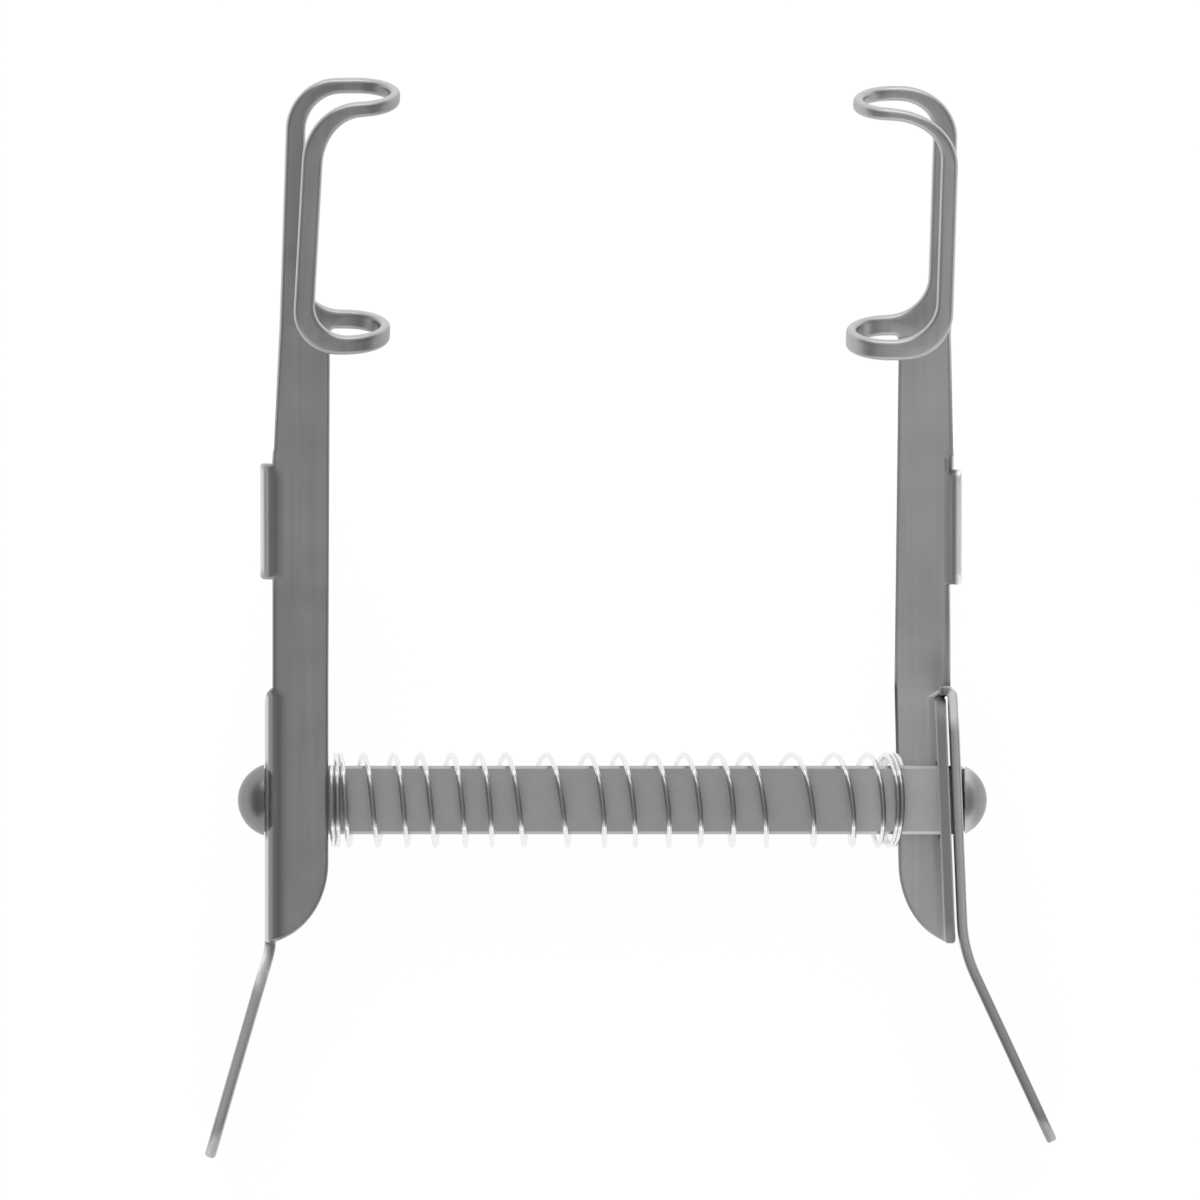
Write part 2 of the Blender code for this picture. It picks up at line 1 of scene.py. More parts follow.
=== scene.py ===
import math

import bmesh
import bpy
from mathutils import Matrix, Vector


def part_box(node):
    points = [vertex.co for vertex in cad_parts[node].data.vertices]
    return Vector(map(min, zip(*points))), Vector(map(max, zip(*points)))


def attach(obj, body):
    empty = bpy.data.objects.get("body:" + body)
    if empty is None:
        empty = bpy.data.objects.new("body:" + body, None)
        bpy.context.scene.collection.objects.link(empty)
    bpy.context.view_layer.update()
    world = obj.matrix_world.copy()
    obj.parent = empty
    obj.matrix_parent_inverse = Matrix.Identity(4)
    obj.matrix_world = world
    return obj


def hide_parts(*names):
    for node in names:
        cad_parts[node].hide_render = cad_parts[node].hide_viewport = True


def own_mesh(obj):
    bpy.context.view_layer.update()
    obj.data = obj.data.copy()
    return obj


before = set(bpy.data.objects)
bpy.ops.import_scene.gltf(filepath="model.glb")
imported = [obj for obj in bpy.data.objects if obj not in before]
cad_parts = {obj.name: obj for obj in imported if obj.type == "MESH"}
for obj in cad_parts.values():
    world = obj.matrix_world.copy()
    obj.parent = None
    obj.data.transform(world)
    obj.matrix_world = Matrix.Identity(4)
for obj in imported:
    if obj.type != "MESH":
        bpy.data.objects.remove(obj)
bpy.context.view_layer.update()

# Sizes in metres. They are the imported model's, apart from the next group and LIP_CORNER
BLADE_RIM = 0.00028         # rounding of the cut edges: loops, arms, lever
RIM = 0.00019
LEVER_RIM = 0.00013        # wide enough to keep the finger's tip inside the model's box
TAB_BLEND = 0.0006          # how far the painted tones of a tab's fold fade in at each end
MODEL_LEAN_RADIUS = 0.0015
LEAN_RADIUS = 0.0060        # drawn softer than the model's, between the same two planes

SHEET = 0.0006
LEVER_SHEET = 0.00056
FOLD_RADIUS = 0.0008
LEFT_SPLAY_RADIUS = 0.0038
RIGHT_SPLAY_RADIUS = 0.0080
BAR_SPAN = 0.03885
BAR_HEIGHT = 0.0038
BAR_THICK = 0.0016
TENON_RADIUS = 0.0005
BUTTON_SPHERE = 0.00206
LEFT_BUTTON_HEIGHT = 0.00146
RIGHT_BUTTON_HEIGHT = 0.00122
SEAT_GAP = 0.00002
BAR_CLEAR = 0.0001
CHEEK_CLEAR = 0.00015
LEVER_PLAY = 0.00014
WEB_GAP = 0.00013

CHEEK_WIDTH = 0.00305
WEB_DEPTH = 0.0055
TAB_DEPTH = 0.0020
CHEEK_FOOT = -0.00344
FOOT_CURVE = 0.0045
WEB_TOP = 0.0057
NOTCH_LOW = 0.00625
NOTCH_HIGH = 0.0123
TAB_TOP = 0.01905
TAB_OUT = (0.00072, 0.00067)
TAB_EDGE = (0.0, 0.0002)
TAB_RAMP = 0.001
TAB_CORNER = 0.0007
WEB_CORNER = 0.0016
LEAN_ANGLE = math.radians(19.0)
LEAN_EASE = (LEAN_RADIUS - MODEL_LEAN_RADIUS) * math.tan(LEAN_ANGLE / 2)
LEAN_SLACK = 2 * LEAN_EASE - (LEAN_RADIUS - MODEL_LEAN_RADIUS) * LEAN_ANGLE

LEFT = {
    "lean_line": 0.0110, "blade": (0.0270, 0.0416), "hook": 0.0045, "rails": (0.00108, 0.00088, 0.00076),
    "rise": 0.00011, "bars": (0.0011, 0.00115), "reach": (0.00357, 0.00227), "top_shift": (0.00011, 0.0001),
    "slant": 0.042, "edge_in": 0.00036, "inner": (0.0, -0.00011), "back_corner": (0.0027, 0.0029),
    "free_corner": (0.0031, 0.0034), "window_front": (0.0021, 0.0028), "window_back": (0.0019, 0.0021),
    "low_corner": 0.0026, "window_low": (0.0019, 0.0018),
}
RIGHT = {
    "lean_line": 0.0066, "blade": (0.02686, 0.0414), "hook": 0.0043, "rails": (0.00117, 0.00084, 0.00056),
    "rise": 0.00014, "bars": (0.00135, 0.00094), "reach": (0.00341, 0.00296), "top_shift": (0.0, 0.0),
    "slant": -0.028, "edge_in": -0.00005, "inner": (0.00022, 0.0002), "back_corner": (0.0033, 0.0031),
    "free_corner": (0.0041, 0.0034), "window_front": (0.0029, 0.0023), "window_back": (0.0020, 0.0018),
    "low_corner": 0.0027, "window_low": (0.0023, 0.0022),
}
WINDOW_LOW_BACK = 0.0023
INNER_FILLET = 0.0003

LEFT_SPLAY_LINE = -0.0077
LEFT_SPLAY = math.radians(16.2)
RIGHT_SPLAY_LINE = -0.0067
RIGHT_SPLAY = math.radians(22.5)
LEFT_TIP = -0.0203
RIGHT_TIP = -0.0200
TIP_RADIUS = 0.0022
LEVER_TILT = math.radians(2.4)
WEB_TILT = math.radians(2.3)
LEVER_TOP = 0.0057
LEVER_FRONT = 0.0034
LIP_RADIUS = 0.0004
LIP_FLAT = 0.00035
LIP_CORNER = 0.0003         # 0.0008 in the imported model

SPRING_RADIUS = 0.00251
SPRING_WIRE = 0.00028
SPRING_TILT = math.tan(math.radians(14.0))
SPRING_START = math.radians(42.0)       # a turn crosses the bar's upper edge in front
# Where the front of each turn crosses the bar, as a share of the spring's length
SPRING_TURNS = [
    0.0, 0.0095, 0.0190, 0.0630, 0.1165, 0.1635, 0.2188, 0.2672, 0.3156, 0.3900, 0.4626, 0.5162,
    0.5767, 0.6320, 0.6908, 0.7426, 0.8256, 0.8983, 0.9553, 0.9844, 0.9922, 1.0,
]

# Where the painted highlights, shade and reflections lie (tone marks and grades), in metres
FACE_LEVEL = 1e-6           # nearer than this to a sheet's face counts as the face
BLADE_MARGIN = 0.0001
FINGER_EDGE = 0.0002        # length over which the left finger's outer edge takes its mark
FINGER_STRIP = (0.0028, 0.0014)         # painted highlight strip down the left finger: gone, nearly full
DOME_BAND = (0.0019, 0.0023)            # half height of the painted light beside the left button: full, gone
WEB_SHOULDER = (0.0003, 0.0005)         # painted shade on the web's top edge: fade below and above the right web's top
# Painted highlight on the lever's shoulder edge: faint, full
LEVER_SHOULDER = (0.0038, 0.0046)
LIP_LIGHT = (0.0003, 0.00045)           # painted highlight on the lever's edge: full and gone, above the lever's top
LIP_SHADE = (0.0003, 0.00055)
FINGER_LIGHT = (0.0002, -0.001)         # painted light on the left finger, from the web's lower end
RIGHT_CHEEK_LIGHT = (0.0108, 0.0078)
LEVER_SPLAY_SHADE = (-0.0070, -0.0120)
BAR_END_LIGHT = (0.0125, 0.0155)        # from the bar's middle
WIRE_FRONT_SHADE = (0.00208, 0.0023)    # from the bar's middle
DOME_FOOT_LIGHT = (0.0007, 0.0)

bar_low, bar_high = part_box("crossbar")
BAR_MID = (bar_low + bar_high) / 2
BAR_Z = BAR_MID.z
CHEEK_MID = BAR_THICK / 2 + CHEEK_CLEAR + SHEET / 2
FOLD_OUT = FOLD_RADIUS + SHEET / 2
QUARTER = FOLD_RADIUS * math.pi / 2
LEFT_WEB_OUT = BAR_SPAN / 2 - SEAT_GAP
LEFT_NOTCH = LEFT_WEB_OUT - 0.8 * SHEET
LEVER_OUT = BAR_SPAN / 2 - LEVER_PLAY
LEVER_IN = LEVER_OUT - LEVER_SHEET
RIGHT_WEB_OUT = LEVER_IN - WEB_GAP
RIGHT_NOTCH = RIGHT_WEB_OUT


# Finishes, with painted tones

def add_socket(group, name, kind, value=None, out=False):
    socket = group.interface.new_socket(name, in_out="OUTPUT" if out else "INPUT", socket_type=kind)
    if value is not None:
        socket.default_value = value
    return socket


def satin_group():
    """Fine streaks of a satin belt finish, with faint broad clouding, over the flat pattern of the sheet."""
    group = bpy.data.node_groups.new("satin_streaks", "ShaderNodeTree")
    add_socket(group, "Pattern", "NodeSocketVector")
    add_socket(group, "Across", "NodeSocketFloat", 9000.0)
    add_socket(group, "Along", "NodeSocketFloat", 350.0)
    add_socket(group, "Streak", "NodeSocketFloat", out=True)
    add_socket(group, "Cloud", "NodeSocketFloat", out=True)
    nodes, links = group.nodes, group.links
    inp = nodes.new("NodeGroupInput")
    out = nodes.new("NodeGroupOutput")
    stretch = nodes.new("ShaderNodeCombineXYZ")
    links.new(inp.outputs["Across"], stretch.inputs["X"])
    links.new(inp.outputs["Along"], stretch.inputs["Y"])
    links.new(inp.outputs["Across"], stretch.inputs["Z"])
    scaled = nodes.new("ShaderNodeVectorMath")
    scaled.operation = "MULTIPLY"
    links.new(inp.outputs["Pattern"], scaled.inputs[0])
    links.new(stretch.outputs["Vector"], scaled.inputs[1])
    streak = nodes.new("ShaderNodeTexNoise")
    streak.inputs["Scale"].default_value = 1.0
    streak.inputs["Detail"].default_value = 2.0
    streak.inputs["Roughness"].default_value = 0.5
    links.new(scaled.outputs["Vector"], streak.inputs["Vector"])
    cloud = nodes.new("ShaderNodeTexNoise")
    cloud.inputs["Scale"].default_value = 420.0
    cloud.inputs["Detail"].default_value = 3.0
    links.new(inp.outputs["Pattern"], cloud.inputs["Vector"])
    links.new(streak.outputs["Fac"], out.inputs["Streak"])
    links.new(cloud.outputs["Fac"], out.inputs["Cloud"])
    return group


SATIN = satin_group()


def steel(
    name, dark, light, roughness, pattern="Object",
    across=2600.0, along=70.0, bump=0.01, masks=(), grades=(),
):
    """Satin stainless steel.

    A mask is an attribute that the piece carries, the colour it brings and its roughness, or None.
    A grade is an axis of the pattern, where it begins, where it is full, and the factor of the colour
    there. Masks and grades are painted tones: they stand in for reflections of the studio.
    """
    mat = bpy.data.materials.new(name)
    mat.use_nodes = True
    nodes, links = mat.node_tree.nodes, mat.node_tree.links
    shader = nodes["Principled BSDF"]
    shader.inputs["Metallic"].default_value = 1.0
    if pattern == "Object":
        source = nodes.new("ShaderNodeTexCoord").outputs["Object"]
    else:
        attribute = nodes.new("ShaderNodeAttribute")
        attribute.attribute_name = pattern
        source = attribute.outputs["Vector"]
    satin = nodes.new("ShaderNodeGroup")
    satin.node_tree = SATIN
    satin.inputs["Across"].default_value = across
    satin.inputs["Along"].default_value = along
    links.new(source, satin.inputs["Pattern"])
    blend = nodes.new("ShaderNodeMath")
    blend.operation = "MULTIPLY_ADD"
    blend.inputs[1].default_value = 0.5
    links.new(satin.outputs["Cloud"], blend.inputs[0])
    half = nodes.new("ShaderNodeMath")
    half.operation = "MULTIPLY"
    half.inputs[1].default_value = 0.5
    links.new(satin.outputs["Streak"], half.inputs[0])
    links.new(half.outputs["Value"], blend.inputs[2])
    tone = nodes.new("ShaderNodeMix")
    tone.data_type = "RGBA"
    tone.inputs["A"].default_value = (*dark, 1.0)
    tone.inputs["B"].default_value = (*light, 1.0)
    links.new(blend.outputs["Value"], tone.inputs["Factor"])
    colour = tone.outputs["Result"]
    rough = nodes.new("ShaderNodeMapRange")
    rough.inputs["To Min"].default_value = roughness - 0.05
    rough.inputs["To Max"].default_value = roughness + 0.07
    links.new(satin.outputs["Streak"], rough.inputs["Value"])
    dullness = rough.outputs["Result"]
    # Each mask mixes in a painted highlight, shade or reflection and may set the roughness; each grade
    # paints light or shade along an axis
    for attribute_name, mask_colour, mask_roughness in masks:
        mask = nodes.new("ShaderNodeAttribute")
        mask.attribute_name = attribute_name
        painted_tone = nodes.new("ShaderNodeMix")
        painted_tone.data_type = "RGBA"
        painted_tone.inputs["B"].default_value = (*mask_colour, 1.0)
        links.new(mask.outputs["Fac"], painted_tone.inputs["Factor"])
        links.new(colour, painted_tone.inputs["A"])
        colour = painted_tone.outputs["Result"]
        if mask_roughness is not None:
            smoother = nodes.new("ShaderNodeMix")
            smoother.inputs["B"].default_value = mask_roughness
            links.new(mask.outputs["Fac"], smoother.inputs["Factor"])
            links.new(dullness, smoother.inputs["A"])
            dullness = smoother.outputs["Result"]
    for axis, start, full, factor in grades:
        split = nodes.new("ShaderNodeSeparateXYZ")
        links.new(source, split.inputs["Vector"])
        grade = nodes.new("ShaderNodeMapRange")
        grade.interpolation_type = "SMOOTHSTEP"
        grade.inputs["From Min"].default_value = start
        grade.inputs["From Max"].default_value = full
        grade.inputs["To Min"].default_value = 1.0
        grade.inputs["To Max"].default_value = factor
        links.new(split.outputs[axis], grade.inputs["Value"])
        shaded = nodes.new("ShaderNodeVectorMath")
        shaded.operation = "SCALE"
        links.new(colour, shaded.inputs[0])
        links.new(grade.outputs["Result"], shaded.inputs["Scale"])
        colour = shaded.outputs["Vector"]
    links.new(colour, shader.inputs["Base Color"])
    links.new(dullness, shader.inputs["Roughness"])
    relief = nodes.new("ShaderNodeBump")
    relief.inputs["Strength"].default_value = bump
    relief.inputs["Distance"].default_value = 0.0001
    links.new(satin.outputs["Streak"], relief.inputs["Height"])
    links.new(relief.outputs["Normal"], shader.inputs["Normal"])
    return mat


# Shares of the fold, from the cheek at 0 to the web at 1, and how strong each painted mark is there:
# dark, middle and light painted reflection bands, and the even painted tone inside the right arm's fold
FOLD_DARK = [
    (-0.2, 0.0), (0.0, 0.6), (0.12, 1.0), (0.2, 0.9), (0.3, 0.0), (0.44, 0.0), (0.5, 0.8), (0.6, 0.8),
    (0.66, 0.0),
]
FOLD_MIDDLE = [(0.2, 0.0), (0.3, 1.0), (0.44, 1.0), (0.5, 0.0)]
FOLD_LIGHT = [(0.56, 0.0), (0.66, 1.0), (1.0, 1.0), (1.3, 0.0)]
FOLD_INSIDE = [(0.0, 0.0), (0.3, 1.0)]


# Sheet work

def arc(cx, cy, rx, ry, a0, a1, steps):
    points = []
    for i in range(steps + 1):
        a = math.radians(a0 + (a1 - a0) * i / steps)
        points.append((cx + rx * math.cos(a), cy + ry * math.sin(a)))
    return points


def step_line(knots, v):
    if v <= knots[0][0]:
        return knots[0][1]
    for (v0, s0), (v1, s1) in zip(knots, knots[1:]):
        if v <= v1:
            return s0 + (s1 - s0) * (v - v0) / (v1 - v0)
    return knots[-1][1]


def blank(loops, thickness, rim):
    """Flat sheet cut to the loops, with its cut edges rounded over."""
    curve = bpy.data.curves.new("blank", "CURVE")
    curve.dimensions = "2D"
    curve.fill_mode = "BOTH"
    curve.bevel_depth = rim
    curve.bevel_resolution = 3
    curve.extrude = thickness / 2 - rim
    curve.offset = -rim
    for loop in loops:
        spline = curve.splines.new("POLY")
        spline.points.add(len(loop) - 1)
        for point, (s, v) in zip(spline.points, loop):
            point.co = (s, v, 0.0, 1.0)
        spline.use_cyclic_u = True
    holder = bpy.data.objects.new("blank", curve)
    bpy.context.scene.collection.objects.link(holder)
    bpy.context.view_layer.update()
    mesh = bpy.data.meshes.new_from_object(holder)
    bm = bmesh.new()
    bm.from_mesh(mesh)
    bpy.data.objects.remove(holder)
    bpy.data.curves.remove(curve)
    bpy.data.meshes.remove(mesh)
    bmesh.ops.remove_doubles(bm, verts=bm.verts, dist=1e-7)
    bmesh.ops.recalc_face_normals(bm, faces=bm.faces)
    return bm


def tighten(bm, thickness, wide, rim, blade_low):
    """Round the cut edges below the blade over a smaller radius than the blade's own."""
    bm.normal_update()
    moves = []
    for vert in bm.verts:
        depth = thickness / 2 - abs(vert.co.z)
        outward = Vector((0.0, 0.0, 0.0))
        for face in vert.link_faces:
            if abs(face.normal.z) < 0.995:
                outward += Vector((face.normal.x, face.normal.y, 0.0)).normalized()
        if vert.co.y > blade_low or outward.length < 1e-6:
            continue
        a = math.acos(min(1.0, max(0.0, 1.0 - depth / wide)))
        reach = (wide - rim) * (1.0 - math.sin(a))
        height = thickness / 2 - rim + rim * math.cos(a)
        moves.append((vert, vert.co + outward.normalized() * reach, math.copysign(height, vert.co.z)))
    for vert, place, height in moves:
        vert.co = (place.x, place.y, height)


def score(bm, values, axis, keep=None):
    for value in values:
        faces = [f for f in bm.faces if keep is None or keep(f.calc_center_median())]
        geom = set(faces)
        for face in faces:
            geom.update(face.edges)
            geom.update(face.verts)
        point = [0.0, 0.0, 0.0]
        normal = [0.0, 0.0, 0.0]
        point[axis] = value
        normal[axis] = 1.0
        bmesh.ops.bisect_plane(bm, geom=list(geom), dist=1e-7, plane_co=point, plane_no=normal)


def stations(start, length, steps):
    return [start + length * i / steps for i in range(steps + 1)]


def curl(offset, height, start, radius, angle):
    """Bend a strip at start by angle towards +height; beyond the bend it runs straight on."""
    along = offset - start
    if along <= 0.0:
        return offset, height
    length = radius * angle
    a = min(along, length) / radius
    x = start + (radius - height) * math.sin(a)
    y = radius - (radius - height) * math.cos(a)
    rest = max(0.0, along - length)
    return x + rest * math.cos(angle), y + rest * math.sin(angle)


def remember_flat(bm, thickness, rim, blade_low, outer, span=((0.0, 1.0),)):
    """Keep each point's place on the flat sheet and its share of the cut edge.

    The cut edge carries a painted highlight on the blade and painted shade below it, where some finishes
    also make it rougher. outer is the sign of the side of the sheet that faces out once it is folded; its
    edge is marked as well, along span, for a painted highlight.
    """
    flat = bm.verts.layers.float_vector.new("flat")
    bright = bm.verts.layers.float.new("blade_edge_highlight")
    dull = bm.verts.layers.float.new("dull_and_shaded_edge")
    outermost = bm.verts.layers.float.new("outer_edge")
    for vert in bm.verts:
        vert[flat] = vert.co
        on_blade = vert.co.y > blade_low
        depth = thickness / 2 - abs(vert.co.z)
        share = min(1.0, max(0.0, depth / (BLADE_RIM if on_blade else rim) * 1.6))
        vert[bright if on_blade else dull] = share
        if not on_blade and depth > FACE_LEVEL:
            side = min(1.0, max(0.0, outer * vert.co.z / thickness / 0.18))
            vert[outermost] = step_line(span, vert.co.y) * side


def mark(bm, name, value):
    """Write an attribute from each point's place on the flat sheet."""
    layer = bm.verts.layers.float.new(name)
    for vert in bm.verts:
        vert[layer] = value(*vert.co)


def on_cut_edge(w, thickness):
    return abs(w) < thickness / 2 - FACE_LEVEL


def finish_piece(name, bm, mat, body, node):
    mesh = bpy.data.meshes.new(name)
    bmesh.ops.recalc_face_normals(bm, faces=bm.faces)
    bmesh.ops.translate(bm, vec=(BAR_MID.x, BAR_MID.y, 0.0), verts=bm.verts)
    bm.to_mesh(mesh)
    bm.free()
    for poly in mesh.polygons:
        poly.use_smooth = True
    mesh.set_sharp_from_angle(angle=math.radians(50.0))
    mesh.materials.append(mat)
    piece = bpy.data.objects.new(name, mesh)
    bpy.context.scene.collection.objects.link(piece)
    normals = piece.modifiers.new("even_normals", "WEIGHTED_NORMAL")
    normals.keep_sharp = True
    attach(piece, body)
    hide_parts(node)


def make_arm(name, side, shape, body, node, mat):
    """One folded arm with its lid loop. side is -1 for the left arm, +1 for the right one."""
    left = side < 0
    notch = LEFT_NOTCH if left else RIGHT_NOTCH
    web_out = LEFT_WEB_OUT if left else RIGHT_WEB_OUT
    inner = notch - CHEEK_WIDTH
    tilt = 0.0 if left else math.tan(WEB_TILT)
    strip_low, blade_top = shape["blade"]
    shift_foot, shift_blade = shape["inner"]
    lean_line = shape["lean_line"] - LEAN_EASE
    hook = shape["hook"] / 2
    rail_low, rail_back, rail_front = shape["rails"]
    shift_back, shift_front = shape["top_shift"]
    bar_back, bar_front = shape["bars"]
    reach_back, reach_front = shape["reach"]
    edge_in = shape["edge_in"]
    slant = shape["slant"]
    rake = math.tan(LEAN_ANGLE) * side
    tab_end = TAB_TOP + TAB_DEPTH * abs(rake)
    web_low = CHEEK_FOOT - FOOT_CURVE
    web_fold = web_out - FOLD_OUT
    tab_fold = notch + (TAB_OUT[0] if left else TAB_OUT[1]) - FOLD_OUT
    away = notch + 2 * SHEET
    fold_knots = [
        (web_low, web_fold - tilt * web_low),
        (WEB_TOP, web_fold - tilt * WEB_TOP),
        (NOTCH_LOW, tab_fold),
        (tab_end, tab_fold),
        (tab_end + TAB_RAMP, away),
    ]
    edge_out = notch - edge_in
    turn_low = edge_out - reach_back

    def fold(v):
        return step_line(fold_knots, v)

    def turn(v):
        return turn_low - slant * (v - strip_low)

    def blade_arc(p, v, rx, ry, a0, a1, steps=18):
        return [(turn(y) - x, y) for x, y in arc(p, v, rx, ry, a0, a1, steps)]

    web_edge = QUARTER + 0.15 * SHEET
    web_far = QUARTER + WEB_DEPTH - SHEET / 2 - FOLD_RADIUS
    tab_far = QUARTER + TAB_DEPTH - SHEET / 2 - FOLD_RADIUS
    front_mid = math.pi * hook + reach_front
    front_far = front_mid + bar_front / 2
    front_near = front_mid - bar_front / 2
    strip_top = strip_low + rail_low

    outline = []
    centre = fold(web_low) + web_edge
    outline += arc(centre, CHEEK_FOOT, centre - inner - shift_foot, FOOT_CURVE, 270, 180, 28)
    outline.append((inner, NOTCH_LOW))
    inner_top = inner + shift_blade
    outline.append((inner_top, strip_low - 0.0005))
    c = INNER_FILLET
    outline += arc(inner_top - c, strip_low - c, c, c, 0, 90, 6)
    c = shape["low_corner"]
    outline += blade_arc(front_far - c, strip_low + c, c, c, 270, 360)
    rx, ry = shape["free_corner"]
    outline += blade_arc(front_far - shift_front - rx, blade_top + shape["rise"] - ry, rx, ry, 0, 90)
    rx, ry = shape["back_corner"]
    outline += blade_arc(-reach_back - shift_back + rx, blade_top - ry, rx, ry, 90, 180)
    outline.append((turn(strip_low) + reach_back, strip_low))
    outline.append((notch + (TAB_EDGE[0] if left else TAB_EDGE[1]), TAB_TOP))
    c = TAB_CORNER
    tab = arc(tab_far - c, TAB_TOP - c, c, c, 90, 0, 8)
    tab += arc(tab_far - c, NOTCH_HIGH + c, c, c, 0, -90, 8)
    outline += [(tab_fold + x, y + rake * max(0.0, x - QUARTER / 2)) for x, y in tab]
    outline.append((notch, NOTCH_HIGH))
    outline.append((notch, NOTCH_LOW))
    outline.append((fold(WEB_TOP) + QUARTER, WEB_TOP))
    c = WEB_CORNER
    outline += [(fold(y) + x, y) for x, y in arc(web_far - c, WEB_TOP - c, c, c, 90, 0, 12)]
    if left:
        tip = LEFT_TIP
        low = fold(web_low)
        pad = QUARTER - FOLD_RADIUS + CHEEK_MID - LEVER_FRONT
        c = TIP_RADIUS
        finger = arc(web_far - c, tip + c, c, c, 0, -90, 16)
        finger += arc(pad + c, tip + c, c, c, 270, 180, 16)
        c = (web_edge - pad) / 2
        finger += arc(pad + c, web_low - 2 * c, c, c, 180, 90, 10)
        finger += arc(pad + c, web_low, c, c, 270, 350, 10)
        neck = [
            (web_low - 2.3 * c, 0.0), (web_low - 1.8 * c, 1.0),
            (web_low - 0.0001, 1.0), (web_low + 0.0001, 0.0),
        ]
        outline += [(low + x, y) for x, y in finger]
    else:
        outline += [(fold(y) + x, y) for x, y in arc(web_far - c, web_low + c, c, c, 0, -90, 12)]

    window = []
    rx, ry = shape["window_low"]
    window += blade_arc(front_near - rx, strip_top + ry, rx, ry, 270, 360)
    rx, ry = shape["window_front"]
    window += blade_arc(front_near - shift_front - rx, blade_top - rail_front - ry, rx, ry, 0, 90)
    back_near = -reach_back + bar_back
    rx, ry = shape["window_back"]
    window += blade_arc(back_near - shift_back + rx, blade_top - rail_back - ry, rx, ry, 90, 180)
    c = WINDOW_LOW_BACK
    window += blade_arc(back_near + c, strip_top + c, c, c, 180, 270)
    window.reverse()

    # Punched hole for the crossbar, from the fold out into the web
    bar_face = CHEEK_MID - BAR_THICK / 2 - BAR_CLEAR
    near = QUARTER if left else FOLD_RADIUS * math.acos(1 - bar_face / FOLD_RADIUS)
    far = QUARTER + CHEEK_MID + BAR_THICK / 2 + BAR_CLEAR - FOLD_RADIUS
    half = BAR_HEIGHT / 2 + BAR_CLEAR
    hole = [(near, -half), (far, -half), (far, half), (near, half)]
    hole = [(fold(y) + x, y) for x, y in hole]

    bm = blank([outline, window, hole], SHEET, BLADE_RIM)
    blade_low = strip_low - BLADE_MARGIN
    tighten(bm, SHEET, BLADE_RIM, RIM, blade_low)
    lean = stations(lean_line, LEAN_RADIUS * LEAN_ANGLE, 8)
    lines = [web_low, WEB_TOP, NOTCH_LOW, NOTCH_HIGH, TAB_TOP, tab_end, tab_end + TAB_RAMP] + lean
    lines += [NOTCH_HIGH + TAB_BLEND, TAB_TOP - TAB_BLEND]
    if left:
        full, gone = DOME_BAND
        strip_end, strip_full = FINGER_STRIP
        lines += [web_low - strip_end, web_low - strip_full, web_low - FINGER_EDGE, -gone, -full, full, gone]
    score(bm, lines, 1)
    if left:
        bends = stations(0.0, LEFT_SPLAY_RADIUS * LEFT_SPLAY, 10)
        score(bm, [LEFT_SPLAY_LINE - s for s in bends], 1, lambda c: c.y < web_low)
    for vert in bm.verts:
        vert.co.x -= fold(vert.co.y)
    across_fold = [FOLD_DARK[0][0] * QUARTER] + stations(0.0, QUARTER, 16)
    score(bm, across_fold, 0, lambda c: web_low < c.y < tab_end + TAB_RAMP)
    for vert in bm.verts:
        vert.co.x += fold(vert.co.y)
    for vert in bm.verts:
        vert.co.x = turn(vert.co.y) - vert.co.x
    score(bm, stations(0.0, math.pi * hook, 32), 0, lambda c: c.y > blade_low)
    for vert in bm.verts:
        vert.co.x = turn(vert.co.y) - vert.co.x
    along_finger = ((web_low - FINGER_EDGE, 1.0), (web_low, 0.0))
    along_tab = ((NOTCH_LOW, 0.0), (NOTCH_HIGH, 1.0))
    remember_flat(bm, SHEET, RIM, blade_low, -1.0, along_finger if left else along_tab)
    folded = [
        (web_low - 1e-6, 0.0), (web_low, 1.0), (WEB_TOP, 1.0), (NOTCH_LOW, 0.0), (NOTCH_HIGH, 0.0),
        (NOTCH_HIGH + TAB_BLEND, 1.0), (TAB_TOP - TAB_BLEND, 1.0), (TAB_TOP, 0.0),
    ]

    def along_fold(knots):
        return lambda s, v, w: step_line(folded, v) * step_line(knots, (s - fold(v)) / QUARTER)

    if left:
        # Painted tones on the left arm: painted reflection bands across the fold, painted light over the
        # fold's shade beside the button, an even painted tone on the rougher edge of the finger's neck, and
        # a painted highlight strip down the finger
        beside = [(-gone, 0.0), (-full, 1.0), (full, 1.0), (gone, 0.0)]

        def beside_dome(s, v, w):
            return step_line(beside, v) * step_line(FOLD_LIGHT, (s - fold(v)) / QUARTER)

        mark(bm, "fold_dark", along_fold(FOLD_DARK))
        mark(bm, "fold_middle", along_fold(FOLD_MIDDLE))
        mark(bm, "neck", lambda s, v, w: step_line(neck, v) if on_cut_edge(w, SHEET) else 0.0)
        mark(bm, "fold_light", along_fold(FOLD_LIGHT))
        mark(bm, "beside_dome", beside_dome)
        strip = [
            (web_low - strip_end, 0.0), (web_low - strip_full, 0.8),
            (web_low - FINGER_EDGE, 1.0), (web_low, 0.0),
        ]
        across = [(0.05, 0.0), (0.25, 1.0)]

        def finger_light(s, v, w):
            return step_line(strip, v) * step_line(across, -w / SHEET) if on_cut_edge(w, SHEET) else 0.0

        mark(bm, "finger_light", finger_light)
    else:
        below, above = WEB_SHOULDER
        shoulder = [(WEB_TOP - below, 0.0), (WEB_TOP, 1.0), (NOTCH_LOW, 1.0), (NOTCH_LOW + above, 0.0)]

        # Painted tones on the right arm: an even painted tone on the rougher inside of the fold, in place of
        # its reflections, and painted shade on the web's top edge
        mark(bm, "fold_dark", along_fold(FOLD_INSIDE))
        mark(bm, "web_top", lambda s, v, w: step_line(shoulder, v) if on_cut_edge(w, SHEET) else 0.0)

